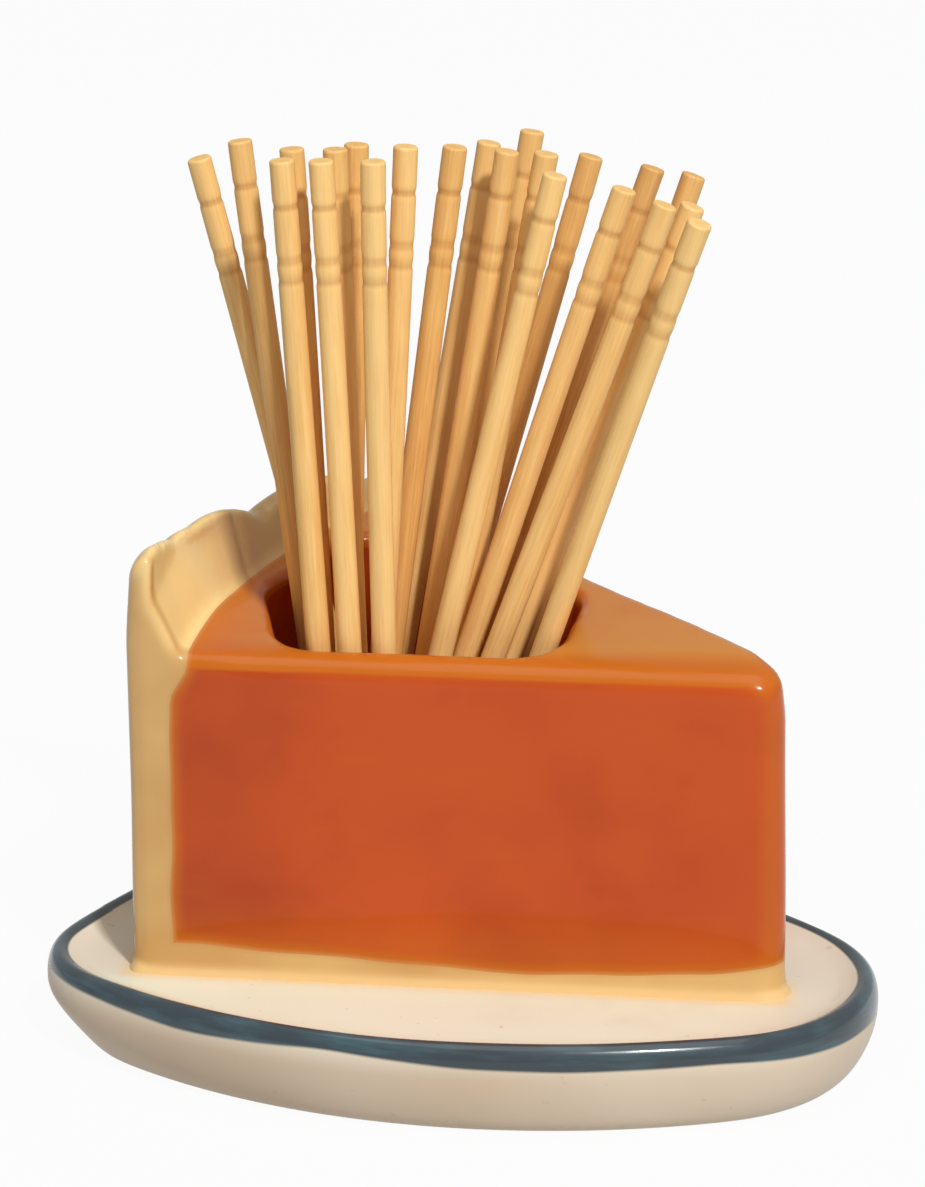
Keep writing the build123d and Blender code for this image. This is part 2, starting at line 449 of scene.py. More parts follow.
def plate_profile(settings):
    """Inset and height of the plate's skin from its foot, over the rim, to its floor."""
    top = PLATE_TOP_Z
    floor = BASE_Z
    foot = settings.foot_inset / MM
    crest = settings.rim_crest / MM
    underside = [(foot + 3.4, 0.45), (foot + 1.6, 0.38), (foot + 0.8, 0.06), (foot, 0.0)]
    wall = [
        (foot * 0.70, 0.28), (foot * 0.40, 1.25), (foot * 0.18, 2.6), (foot * 0.05, 4.1),
        (0.0, 5.6), (0.08, 6.8),
    ]
    rim = [(0.42, top - 0.36), (crest, top), (crest + 0.65, top - 0.2)]
    dish = [
        (crest + 1.4, floor + 0.42), (crest + 2.4, floor + 0.12), (crest + 3.8, floor),
        (crest + 6.0, floor - 0.02),
    ]
    profile = smooth_profile(underside + wall + rim + dish, PROFILE_STEPS)
    profile[:, 1] = profile[:, 1].clip(0)
    return profile


def plate_mesh(settings):
    """Skin of the plate: rings from its foot over its rim to its floor, closed above and below."""
    line, outward = rim_line(settings)
    profile = plate_profile(settings)
    crest = int(np.argmax(profile[:, 1]))
    steps = np.concatenate([[0], np.cumsum(np.linalg.norm(np.diff(profile, axis=0), axis=1))])
    painted = steps[crest] - steps
    wobble = settings.rim_wobble / MM
    stray = wander(np.column_stack([line, np.zeros(RIM_POINTS)]), RIM_STRAY, 3.0) * wobble
    sideways = outward[:, :1]
    ends = np.where(sideways < 0, settings.left_inset, settings.right_inset) / MM * sideways**2
    shell = bmesh.new()
    along = shell.verts.layers.float.new("from_crest")

    def new_ring(places, from_crest):
        ring = [shell.verts.new(place) for place in places]
        for vertex in ring:
            vertex[along] = from_crest
        return ring

    def join(outer, inner, turned):
        for number in range(RIM_POINTS):
            after = (number + 1) % RIM_POINTS
            corners = (outer[number], outer[after], inner[after], inner[number])
            shell.faces.new(corners[::-1] if turned else corners)

    rings = []
    for (inset, height), from_crest in zip(profile, painted):
        drawn_in = 1 - ramp(height, 0, DRAWN_HEIGHT) if from_crest > 0 else 0
        flat = line - outward * (inset + drawn_in * ends)
        places = np.column_stack([flat, np.full(RIM_POINTS, height)])
        raised = ramp(height, 2, 7) * (1 if inset < 3 else 0.2)
        places[:, 2] += stray * raised * 0.8
        sway = wander(places, WALL_STRAY, 9.0) * wobble * 1.2 * ramp(height, 0, 3)
        places[:, :2] += outward * sway[:, None]
        rings.append(new_ring((places * MM).tolist(), from_crest))
    for lower, upper in zip(rings, rings[1:]):
        join(lower, upper, False)
    for ring, turned in ((rings[0], True), (rings[-1], False)):
        mark = FAR_FROM_CREST if turned else -FAR_FROM_CREST
        outer = ring
        for share in (0.75, 0.5, 0.25):
            smaller = new_ring([(spot.co.x * share, spot.co.y * share, spot.co.z) for spot in ring], mark)
            join(outer, smaller, turned)
            outer = smaller
        middle, = new_ring([(0, 0, ring[0].co.z)], mark)
        for number in range(RIM_POINTS):
            corners = (outer[number], outer[(number + 1) % RIM_POINTS], middle)
            shell.faces.new(corners[::-1] if turned else corners)
    bmesh.ops.recalc_face_normals(shell, faces=shell.faces)
    return new_mesh("plate_piece", shell)


def from_corner(x, y):
    """Both sides and the distance from where the cut faces would meet, for a finish."""
    across = x - CORNER.x
    beyond = y - CORNER.y
    return across, beyond, (across * across + beyond * beyond) ** 0.5


def plate_glaze(settings):
    """Pale glaze with a brushed band round the rim."""
    finish = Finish("plate_glaze", {"Specular IOR Level": 0.3, "Coat Roughness": 0.05, "IOR": 1.5})
    place = finish.place()
    from_crest = finish.attribute("from_crest")
    mottle = finish.speckle(place, 70, 4)
    cloud = finish.speckle(place, 26, 2)
    x, y, _ = finish.split(place)
    # Pale glaze, clean before the slice and smudged down the wall; the wall is also darkened as painted
    # shade, most at the left
    wall = from_crest.step(1.0, 3.5)
    before = (1 - (y - NEAR_Y).step(-3.0, 0.5)) * (1 - x.step(18, 30)) * (1 - from_crest.step(-3.0, -1.0))
    clay = finish.mix(before, settings.clay, settings.floor)
    # Smudges in clouds, plus painted shade down the wall that is strongest at the left
    smudge_and_shade = cloud.step(0.35, 0.75) * (0.1 + wall * 0.3) + wall * (0.6 - x.step(-25, 25) * 0.45)
    clay = finish.mix(smudge_and_shade, clay, settings.clay_smudge_and_shade)
    clay = finish.mix(mottle.step(0.55, 0.8) * 0.2, clay, settings.clay_smudge_and_shade)
    pinholes = finish.speckle(place, 900, 1).step(0.73, 0.78)
    clay = finish.mix(pinholes * 0.35, clay, settings.clay_smudge_and_shade)
    # Painted band: two wavering edges, brush marks, and paint that gathered at its inner edge
    inside = -settings.band_inside / MM
    outside = settings.band_outside / MM
    edge_in = from_crest - (finish.speckle(place, 60, 1) - 0.5) * 0.9
    edge_out = from_crest - (finish.speckle(place, 38, 1.5) - 0.5) * 3.2
    band = edge_in.step(inside - 0.12, inside + 0.12) * (1 - edge_out.step(outside - 0.16, outside + 0.16))
    brush = finish.speckle(finish.vector("MULTIPLY", place, (1.0, 1.0, 7.0)), 160)
    paint = finish.mix(brush.step(0.4, 0.75) * 0.6, settings.band, settings.band_thin)
    gathered = (1 - edge_in.step(inside, inside + 1.0)) * 0.75 + cloud.step(0.5, 0.7) * 0.25
    paint = finish.mix(gathered, paint, settings.band_edge)
    # Crust glaze that ran out round the slice: distance from its two cut faces, its back and its tip
    across, beyond, reach = from_corner(x, y)
    from_far = across * math.sin(SLICE_ANGLE) + beyond * math.cos(SLICE_ANGLE)
    from_slice = x - FILLING_HIGH.x
    for side in (0 - beyond, from_far, reach - CRUST_OUTSIDE):
        from_slice = from_slice.call("MAXIMUM", side)
    runs = (1 - from_slice.step(0.2, 1.3 + mottle)) * (1 - from_crest.step(-4.0, -2.5))
    clay = finish.mix(runs * 0.7, clay, settings.stain)
    finish.feed("Base Color", finish.mix(band * 0.95, clay, paint))
    finish.feed("Roughness", 0.42 + mottle * 0.12 - band * (0.29 - brush * 0.06))
    finish.feed("Coat Weight", 0.05 + band * 0.3)
    dents = finish.speckle(place, 190, 2) + band * 0.25
    finish.bump(dents, 0.12, 0.4 * MM)
    return finish.material


class HOLDER_OT_plate(bpy.types.Operator):
    """Make the glazed plate"""

    bl_idname = "holder.plate"
    bl_label = "Plate"

    def execute(self, context):
        settings = context.scene.holder_plate
        piece = place_object("plate_glazed", plate_mesh(settings), plate_glaze(settings))
        set_down(piece, HOLDER_BODY, "plate_glaze", "plate")
        return {"FINISHED"}


# Slice, with its shaping in millimetres

# Points of the two solids closer than this are one, in metres
SAME_POINT = 1e-7
# How far the top swells between its edges, and how far the tip's top draws back
TOP_SWELL = 0.3
TIP_DRAW = 0.3
# Height of the slice's foot, and how far its lowest part goes below the plate's floor
SUNK_HEIGHT = 1.2
SUNK_DEPTH = 0.55
# Height over which the flare at the base dies away
FLARE_HEIGHT = 0.45
# Bend that counts as a worn edge, and the passes that spread it
WORN_BEND = 0.13
WORN_PASSES = 4
# Cutter between filling and crust: points round it, rings over its floor and up its wall, and its top
CUTTER_TURNS = 360
CUTTER_FLOOR_RINGS = 59
CUTTER_WALL_RINGS = 89
CUTTER_TOP_Z = 60.0
# Seam: height over the plate's floor, lap of the filling over the crust and its draw back at the top
SEAM_HEIGHT = 2.15
SEAM_LAP = 1.55
SEAM_DRAW = 0.5
# Edges at least this steep are crisp
SEAM_ANGLE = math.radians(38)
# Shader values of both glazes
CAST_GLAZE = {"Coat Roughness": 0.06, "IOR": 1.5}


def cast_skin(settings):
    """One softened skin over crust and filling, as the clay was cast."""
    shell = bmesh.new()
    for node in ("crust", "filling"):
        shell.from_mesh(frame["nodes"][node].data)
    bmesh.ops.remove_doubles(shell, verts=shell.verts, dist=SAME_POINT)
    block = place_object("slice_block", new_mesh("slice_block", shell))
    remesh = block.modifiers.new("skin", "REMESH")
    remesh.mode = "VOXEL"
    remesh.voxel_size = settings.grain
    soften = block.modifiers.new("soften", "SMOOTH")
    soften.factor = 0.5
    soften.iterations = settings.soften
    mesh = finished_mesh(block, "slice_skin")
    drop_loose_shells(mesh)
    shape_skin(mesh, settings)
    return mesh


def drop_loose_shells(mesh):
    """Keep only the largest closed shell."""
    shell = bmesh.new()
    shell.from_mesh(mesh)
    unseen = set(shell.verts)
    groups = []
    while unseen:
        group = [unseen.pop()]
        for vertex in group:
            around = {edge.other_vert(vertex) for edge in vertex.link_edges} & unseen
            unseen -= around
            group.extend(around)
        groups.append(group)
    groups.sort(key=len)
    for group in groups[:-1]:
        bmesh.ops.delete(shell, geom=group, context="VERTS")
    shell.to_mesh(mesh)
    shell.free()


def shape_skin(mesh, settings):
    """Give the cast skin its rippled walls, uneven top, leaning ends and spread base."""
    points = points_of(mesh) / MM
    normals = normals_of(mesh)
    x, y, z = points.T.copy()
    near = y - NEAR_Y
    ripple = wander(points, 11, 5.0) * 0.6 + wander(points, 23, 2.0) * 0.6
    push = ripple * settings.ripple / MM * ramp(z, BASE_Z, BASE_Z + 3)
    # The crust's nearest lobe stands higher, most of all at the notch behind it
    lobe = 0.2 + 0.35 * ramp(near, 0, 3) + 0.55 * np.exp(-((near - 8.0) / 2.5) ** 2)
    lobe *= 1 - ramp(near, 9.5, 13.5)
    z += settings.lobe_lift / MM * lobe * ramp(z, 34, 41) * (1 - ramp(x, -20, -17))
    # The filling's top falls to its near edge and its tip, and swells between them
    edge = (1 - (near / 2.6).clip(0, 1)) ** 2
    z -= settings.edge_fall / MM * edge * ramp(z, 30, 33) * ramp(x, -20, -16)
    z += TOP_SWELL * ramp(x, 10, 20) * ramp(near, 1, 5) * ramp(z, 31, 34)
    tip = ramp(x, 21.5, 27.0)
    z -= settings.nose_fall / MM * tip**2 * ramp(z, 29, 33.5)
    points[:, 0] -= TIP_DRAW * ramp(z, 30, 34) * ramp(x, 23.5, 26.8)
    # The base spreads and goes below the plate's floor, so that the glaze meets it in a hollow curve
    z -= SUNK_DEPTH * (1 - (z - BASE_Z) / SUNK_HEIGHT).clip(0)
    level = np.hypot(normals[:, 0], normals[:, 1])
    push += settings.flare / MM * np.exp(-(z - BASE_Z).clip(0) / FLARE_HEIGHT) * level
    points[:, 2] = z
    points += normals * push[:, None]
    # The crust draws in at its shoulder and leans out, and the tip spreads downwards
    reach = np.hypot(x - CORNER.x, y - CORNER.y)
    outside = ramp(reach, CRUST_OUTSIDE - 3, CRUST_OUTSIDE - 0.5) * ramp(z, CRUST_HIGH.z - 8, CRUST_HIGH.z)
    inwards = np.stack([CORNER.x - x, CORNER.y - y], 1) / np.maximum(reach, 1)[:, None]
    points[:, :2] += inwards * (settings.shoulder / MM * outside)[:, None]
    points[:, 0] += settings.nose_lean / MM * ramp(x, 12, 26) * (1 - ramp(z, BASE_Z, NEAR_TOP_Z))
    points[:, 0] -= settings.crust_lean / MM * (1 - ramp(x, -25, -17)) * (z - BASE_Z) / 30
    mesh.vertices.foreach_set("co", (points * MM).ravel())
    mesh.update()


def edge_wear(mesh):
    """How far each point is on a rounded outer edge, up to 1, or in a hollow, down to -1."""
    points = points_of(mesh) / MM
    normals = normals_of(mesh)
    ends = table_of(mesh.edges, "vertices", 2, int)
    span = points[ends[:, 1]] - points[ends[:, 0]]
    size = np.maximum(np.linalg.norm(span, axis=1), 1e-6)
    bend = np.zeros(len(points))
    count = np.zeros(len(points))
    for end, sign in ((0, -1), (1, 1)):
        np.add.at(bend, ends[:, end], sign * (normals[ends[:, end]] * span).sum(1) / size)
        np.add.at(count, ends[:, end], 1)
    bend /= np.maximum(count, 1)
    for _ in range(WORN_PASSES):
        total = bend.copy()
        for end in (0, 1):
            np.add.at(total, ends[:, end], bend[ends[:, 1 - end]])
        bend = total / (count + 1)
    return np.clip(bend / WORN_BEND, -1, 1)


def filling_cutter():
    """Closed lump round the filling's share of the skin, with a waver as if painted by hand."""
    angles = np.linspace(0, 2 * math.pi, CUTTER_TURNS, endpoint=False)
    shares = np.linspace(0, 1, CUTTER_FLOOR_RINGS + 1)[1:]
    heights = np.linspace(0, 1, CUTTER_WALL_RINGS + 1)[1:]
    rows = [[boundary_point(angle, share, None) for angle in angles] for share in shares]
    rows += [[boundary_point(angle, 1.0, height) for angle in angles] for height in heights]
    shell = bmesh.new()
    foot = shell.verts.new(boundary_point(0, 0, None) * MM)
    head = shell.verts.new(Vector((CORNER.x, CORNER.y, CUTTER_TOP_Z)) * MM)
    made = [[shell.verts.new(point * MM) for point in row] for row in rows]
    for number in range(CUTTER_TURNS):
        after = (number + 1) % CUTTER_TURNS
        shell.faces.new((foot, made[0][after], made[0][number]))
        shell.faces.new((head, made[-1][number], made[-1][after]))
        for lower, upper in zip(made, made[1:]):
            shell.faces.new((lower[number], lower[after], upper[after], upper[number]))
    bmesh.ops.recalc_face_normals(shell, faces=shell.faces)
    return place_object("filling_cutter", new_mesh("filling_cutter", shell))


def boundary_point(angle, share, height):
    """Point on the edge between filling and crust: on its floor, or up its wall where a height is given."""
    reach = CRUST_INSIDE * share
    x = CORNER.x - reach * math.cos(angle)
    y = CORNER.y + reach * math.sin(angle)
    # The seam rises towards both ends and sags between them
    low = BASE_Z + SEAM_HEIGHT
    low += 0.5 * float(ramp(-x, 8, 22)) + 0.95 * float(ramp(x, 20.5, 27.5))
    low += 0.22 * noise.noise(Vector((x / 6, y / 6, 4.0))) - 0.75 * math.exp(-((x - 7) / 12) ** 2)
    z = low
    if height is not None:
        # The wall draws in towards the top and is upright through it
        z += (CUTTER_TOP_Z - low) * height**1.6
        top = NEAR_TOP_Z + TOP_SLOPE * max(0.0, y - NEAR_Y)
        below = 1 - float(ramp(z, top - 4.0, top - 0.7))
        reach += SEAM_LAP * below - SEAM_DRAW
        reach += below * 0.35 * noise.noise(Vector((angle * 3, z / 5.5, 1.0)))
    elif share == 1:
        reach += SEAM_LAP - SEAM_DRAW
    x = CORNER.x - reach * math.cos(angle)
    y = CORNER.y + reach * math.sin(angle)
    return Vector((x, y, z))


def cut_share(skin, cutter, operation, name):
    """The part of the skin inside or outside the cutter."""
    piece = place_object(name, skin.copy())
    cut = piece.modifiers.new("share", "BOOLEAN")
    cut.operation = operation
    cut.object = cutter
    cut.solver = "MANIFOLD"
    return finished_mesh(piece, name)


def crisp_seams(mesh, angle):
    """Sharp edges only where two faces meet steeply. Gives each point's distance to them in millimetres."""
    shell = bmesh.new()
    shell.from_mesh(mesh)
    seam = set()
    for edge in shell.edges:
        edge.smooth = len(edge.link_faces) == 2 and edge.calc_face_angle(0) < angle
        if not edge.smooth and edge.verts[0].co.z > (BASE_Z + SUNK_HEIGHT) * MM:
            seam.update(edge.verts)
    tree = finder_of(seam)
    distances = [tree.find(vertex.co)[2] / MM for vertex in shell.verts]
    shell.to_mesh(mesh)
    shell.free()
    return distances


def filling_glaze(settings):
    """Orange glaze, deep on the cut faces and thin and yellow on the top and edges, with painted shade at
    the left of the cut faces and painted light on the tip.
    """
    finish = Finish("filling_glaze", {"Specular IOR Level": 0.16, "Coat Weight": 0.2, **CAST_GLAZE})
    place = finish.place()
    x, y, z = finish.split(place)
    wear = finish.attribute("edge_wear")
    upward = finish.attribute("facing_up")
    cloud = finish.speckle(place, 48)
    blotch = finish.speckle(place, 130, 4)
    streak = finish.speckle(finish.vector("MULTIPLY", place, (0.25, 0.25, 1.0)), 260)
    # Cut faces: thick and thin clouds, deeper at the left as painted shade, lighter low down
    thick = cloud.step(0.38, 0.72) * (0.75 - x.step(4, 20) * (1 - z.step(14, 22)) * 0.5)
    finish.colour = finish.mix(thick, settings.filling, settings.filling_deep_and_shade)
    finish.tint(blotch.step(0.52, 0.8) * 0.35, settings.filling_deep_and_shade)
    # Painted shade: the cut faces darker at the left, most of all low down
    left = (1 - x.step(-22, -6)) * (0.3 + (1 - z.step(13, 19)) * 0.35)
    finish.tint(left, settings.filling_deep_and_shade)
    finish.tint((1 - z.step(9.2, 15.0)) * 0.32, settings.filling_top)
    finish.tint(streak.step(0.55, 0.85) * 0.2, settings.filling_top)
    # Thin glaze along the seam, the edges and the top, and painted light on the tip
    to_seam = finish.attribute("to_seam")
    border = 1 - to_seam.step(0.1, 1.3)
    finish.tint(border * 0.8, settings.filling_top)
    below_top = (y - NEAR_Y).call("MAXIMUM", 0.0) * TOP_SLOPE + NEAR_TOP_Z - z - (cloud - 0.5) * 0.7
    thin = wear.step(0.2, 0.6).call("MAXIMUM", 1 - below_top.step(0.95, 1.25))
    # The tip's share is painted light, where the lamp falls on the rounded tip
    thin = thin.call("MAXIMUM", x.step(24.4, 26.0) * 0.5).call("MAXIMUM", upward.step(0.35, 0.6))
    thin = thin * (0.8 + cloud * 0.4)
    finish.tint(thin.call("MINIMUM", 1.0) * 0.92, settings.filling_top)
    flat = upward.step(0.9, 0.985) * x.step(-32, 0) * (y - NEAR_Y).step(1.5, 4.5)
    finish.tint(flat * 0.75, settings.filling_flat)
    patch = finish.speckle(place, 75).step(0.5, 0.72) * upward.step(0.5, 0.9)
    finish.tint(patch * 0.25, settings.filling)
    soft_edge = 1 - to_seam.step(0.0, 0.45)
    finish.tint(soft_edge * 0.45, settings.crust)
    finish.feed("Base Color", finish.colour)
    finish.feed("Roughness", 0.18 + blotch * 0.085)
    finish.bump(cloud + streak * 0.3, 0.1, 0.5 * MM)
    return finish.material


def crust_glaze(settings):
    """Pale yellow glaze with toasted tints on the flutes, painted light and a painted shadow on its inner
    face, and painted shade on its near end.
    """
    finish = Finish("crust_glaze", {"Specular IOR Level": 0.35, "Coat Weight": 0.15, **CAST_GLAZE})
    place = finish.place()
    x, y, z = finish.split(place)
    wear = finish.attribute("edge_wear")
    cloud = finish.speckle(place, 60)
    blotch = finish.speckle(place, 170, 4)
    streak = finish.speckle(finish.vector("MULTIPLY", place, (1.0, 1.0, 0.2)), 330)
    # Pale inside the rim as painted light on the inner face, toasted on the flutes, painted shade on the
    # near end and a painted shadow of the picks further back inside
    from_outside = CRUST_OUTSIDE - from_corner(x, y)[2]
    inner = from_outside.step(0.6, 2.2) * (y - NEAR_Y).step(0.5, 1.8) * z.step(32, 35)
    # Pale clouds, and the inner face paled as painted light
    pale = cloud.step(0.35, 0.7) * 0.3 * (1 - inner) + inner * 0.9
    finish.colour = finish.mix(pale, settings.crust, settings.crust_pale_and_lit)
    toast_and_shade = z.step(33, 42) * blotch.step(0.5, 0.8) * 0.3 + streak.step(0.55, 0.8) * 0.22
    # Painted shadow of the picks on the inner face, from the middle backwards
    toast_and_shade = toast_and_shade * (1 - inner * 0.8) + inner * y.step(-4.0, 3) * 0.5
    # Painted shade on the near end, darker towards its top and its left edge
    near_end_shade = 1 - (y - NEAR_Y).step(0.5, 1.8)
    toast_and_shade = toast_and_shade + near_end_shade * (z.step(26, 38) * 0.22 + (1 - x.step(-26.6, -25.0)) * 0.22)
    finish.tint(toast_and_shade.call("MINIMUM", 1.0), settings.crust_toast_and_shade)
    # Thin on the edges, gathered in the hollows, pale at the foot
    finish.tint(wear.step(0.2, 0.8) * 0.65, settings.crust_pale_and_lit)
    finish.tint((0 - wear).step(0.15, 0.8) * (0.4 - inner * 0.3), settings.crust_toast_and_shade)
    finish.tint((1 - z.step(BASE_Z + 0.1, BASE_Z + 1.3)) * 0.85, settings.foot)
    soft_edge = 1 - finish.attribute("to_seam").step(0.0, 0.45)
    finish.tint(soft_edge * 0.15, settings.filling_top)
    finish.feed("Base Color", finish.colour)
    finish.feed("Roughness", 0.18 + blotch * 0.085)
    finish.bump(cloud + blotch * 0.3, 0.12, 0.5 * MM)
    return finish.material


class HOLDER_OT_slice(bpy.types.Operator):
    """Make the glazed crust and filling from one cast skin"""

    bl_idname = "holder.slice"
    bl_label = "Slice"

    def execute(self, context):
        settings = context.scene.holder_slice
        skin = cast_skin(settings)
        wear = edge_wear(skin)
        upward = normals_of(skin)[:, 2]
        tree = finder_of(skin.vertices)
        cutter = filling_cutter()
        shares = (
            ("filling_glazed", "INTERSECT", filling_glaze(settings), "filling_glaze", "filling"),
            ("crust_glazed", "DIFFERENCE", crust_glaze(settings), "crust_glaze", "crust"),
        )
        for name, operation, material, slot, node in shares:
            mesh = cut_share(skin, cutter, operation, name)
            mesh.materials.clear()
            nearest = [tree.find(vertex.co)[1] for vertex in mesh.vertices]
            store(mesh, "edge_wear", wear[nearest])
            store(mesh, "facing_up", upward[nearest])
            piece = place_object(name, mesh, material)
            set_down(piece, HOLDER_BODY, slot, node)
            store(mesh, "to_seam", crisp_seams(mesh, SEAM_ANGLE))
        bpy.data.objects.remove(cutter)
        return {"FINISHED"}


# Toothpicks

PICK_AROUND = 21
PICK_ALONG = 131
# Share of the grid that closes each end
PICK_CAP = 0.025
# Places of the three rings below the head
PICK_GROOVES = (9.6 * MM, 8.0 * MM, 3.7 * MM)
PICK_GROOVE_WIDTH = 0.24 * MM
PICK_HEAD_ROUND = 0.2 * MM
PICK_POINT_CURVE = 0.85
# Bow of a pick, and how far the bow and the lobes turn from pick to pick
PICK_BOW = 0.12 * MM
PICK_BOW_TURN = 2.4
PICK_LOBE_TURN = 1.7
# Shares of the radius of three and of five lobes, as no pick is quite round
PICK_LOBES = (0.022, 0.012)
# Points closer than this are one, and points this near an end are its ring, in metres
PICK_SAME_POINT = 1e-6
PICK_END_SLACK = 1e-5


def pick_tree():
    """Geometry Nodes that turn a grid into one pick between its foot and its head."""
    tree = bpy.data.node_groups.new("pick_shape", "GeometryNodeTree")
    tree.interface.new_socket(name="Pick", in_out="OUTPUT", socket_type="NodeSocketGeometry")
    kinds = dict.fromkeys(("Foot", "Head"), "NodeSocketVector")
    floats = ("Bow", "Lobe", "Tone And Shade", "Radius", "Tip Radius", "Taper", "Groove Depth")
    kinds |= dict.fromkeys(floats, "NodeSocketFloat")
    kinds["Wood"] = "NodeSocketMaterial"
    for name, kind in kinds.items():
        tree.interface.new_socket(name=name, in_out="INPUT", socket_type=kind)
    board = Board(tree)
    given = board.node("NodeGroupInput", None, None, "Foot")
    value = {name: given.out(name) for name in kinds}
    grid = board.node("GeometryNodeMeshGrid", None, {
        "Size X": 1.0, "Size Y": 1.0, "Vertices X": PICK_AROUND, "Vertices Y": PICK_ALONG}, "Mesh")
    around = board.node("ShaderNodeSeparateXYZ", None, {"Vector": grid.out("UV Map")}, "X")
    # Run along the pick from 0 to 1, and past both for the ends, where the radius closes
    run = around.out("Y") * (1 + 2 * PICK_CAP) - PICK_CAP
    share = run.call("MAXIMUM", 0.0).call("MINIMUM", 1.0)
    closing = ((run + PICK_CAP) / PICK_CAP).call("MINIMUM", (1 + PICK_CAP - run) / PICK_CAP)
    closing = closing.call("MAXIMUM", 0.0).call("MINIMUM", 1.0)
    reach = board.vector("SUBTRACT", value["Head"], value["Foot"])
    length = board.node("ShaderNodeVectorMath", {"operation": "LENGTH"}, {0: reach}, "Value")
    height = length * (1 - (1 - share) ** 2.0)
    below_head = length - height
    point = (height / value["Taper"]).call("MINIMUM", 1.0) ** PICK_POINT_CURVE
    radius = value["Tip Radius"] + (value["Radius"] - value["Tip Radius"]) * point
    groove = 0.0
    for place in PICK_GROOVES:
        off = (below_head - place) / PICK_GROOVE_WIDTH
        groove = (off * off * -1).call("EXPONENT") + groove
    radius = radius - groove * value["Groove Depth"]
    rounded = 1 - (1 - below_head / PICK_HEAD_ROUND).call("MAXIMUM", 0.0) ** 2.0 * 0.1
    turn = around * (2 * math.pi)
    lobed = 1 + (turn * 3 + value["Lobe"]).call("SINE") * PICK_LOBES[0]
    lobed = lobed + (turn * 5 - value["Lobe"]).call("SINE") * PICK_LOBES[1]
    radius = radius * rounded * lobed * closing
    axis = board.vector("NORMALIZE", reach)
    side = board.vector("NORMALIZE", board.vector("CROSS_PRODUCT", (0, 1, 0), axis))
    front = board.vector("CROSS_PRODUCT", axis, side)
    bow = (share * math.pi).call("SINE") * value["Bow"]
    spot = board.vector("SCALE", axis, scale=height)
    spot = board.vector("ADD", spot, board.vector("SCALE", side, scale=radius * turn.call("COSINE") + bow))
    spot = board.vector("ADD", spot, board.vector("SCALE", front, scale=radius * turn.call("SINE")))
    spot = board.vector("ADD", spot, value["Foot"])
    shaped = board.node("GeometryNodeSetPosition", None, {"Geometry": grid, "Position": spot})
    marks = (
        ("UVMap", "FLOAT2", "CORNER", board.combine(around, height / length, 0.0)),
        ("groove", "FLOAT", "POINT", groove),
        ("tone_and_shade", "FLOAT", "POINT", value["Tone And Shade"]),
        ("cut_end", "FLOAT", "POINT", 1 - closing),
    )
    for name, data, domain, wire in marks:
        shaped = board.node(
            "GeometryNodeStoreNamedAttribute", {"data_type": data, "domain": domain},
            {"Geometry": shaped, "Name": name, "Value": wire})
    joined = board.node(
        "GeometryNodeMergeByDistance", None, {"Geometry": shaped, "Distance": PICK_SAME_POINT})
    smooth = board.node("GeometryNodeSetShadeSmooth", None, {0: joined})
    whole = board.node("GeometryNodeRealizeInstances", None, {0: smooth})
    wood = board.node("GeometryNodeSetMaterial", None, {"Geometry": whole, "Material": value["Wood"]})
    board.node("NodeGroupOutput", None, {"Pick": wood})
    return tree


def pick_wood(settings):
    """Pale wood with fine grain along each pick, palest at its head as painted light."""
    finish = Finish("pick_wood", {"IOR": 1.45})
    chart = finish.node("ShaderNodeUVMap", {"uv_map": "UVMap"})
    around = finish.node("ShaderNodeSeparateXYZ", None, {"Vector": chart}, "X")
    along = around.out("Y")
    tone_and_shade = finish.attribute("tone_and_shade")
    groove = finish.attribute("groove")
    turn = around * (2 * math.pi)
    cell = finish.combine(turn.call("COSINE"), turn.call("SINE"), along * 2.2 + tone_and_shade * 37)
    fibre = finish.speckle(cell, 5.5, 4, 0.6)
    streak = finish.speckle(finish.vector("MULTIPLY", cell, (3.0, 3.0, 1.0)), 4.0, 3, 0.6)
    blush = finish.speckle(finish.vector("MULTIPLY", cell, (0.5, 0.5, 2.5)), 2.0, 2)
    # Depth comes from each pick's tone, which is partly painted shade
    depth = tone_and_shade * 0.75 + (fibre - 0.5) * 0.9 + (blush - 0.5) * 0.5
    finish.colour = finish.mix(depth.step(-0.1, 0.6), settings.pale, settings.warm)
    finish.tint((depth - 0.35).step(0.05, 0.7) * 0.85, settings.dark_and_shade)
    finish.tint(streak.step(0.58, 0.78) * 0.38, settings.dark_and_shade)
    finish.tint(streak.step(0.45, 0.3) * 0.4, settings.pale)
    # Painted light: paler towards the head
    finish.tint(along.step(0.5, 1.0) * 0.3, settings.pale)
    # Painted shade in the grooves of the rings
    ring = groove * (0.3 + fibre * 0.5)
    finish.tint(ring.call("MINIMUM", 0.55), settings.dark_and_shade)
    finish.tint(finish.attribute("cut_end") * 0.35, settings.warm)
    finish.feed("Base Color", finish.colour)
    finish.feed("Roughness", 0.5 + streak * 0.2)
    finish.bump(streak + fibre * 0.5, 0.25, 0.12 * MM)
    return finish.material


def pick_ends(node):
    """Middle of a pick's point and of its head, from its solid."""
    joint = next(joint for joint in frame["joints"] if joint["child"] == node)
    axis = np.array(joint["axis"])
    points = points_of(frame["nodes"][node].data)
    along = points @ axis
    ends = []
    for limit in (along.min(), along.max()):
        ring = points[np.abs(along - limit) < PICK_END_SLACK]
        ends.append((ring.min(0) + ring.max(0)) / 2)
    return ends


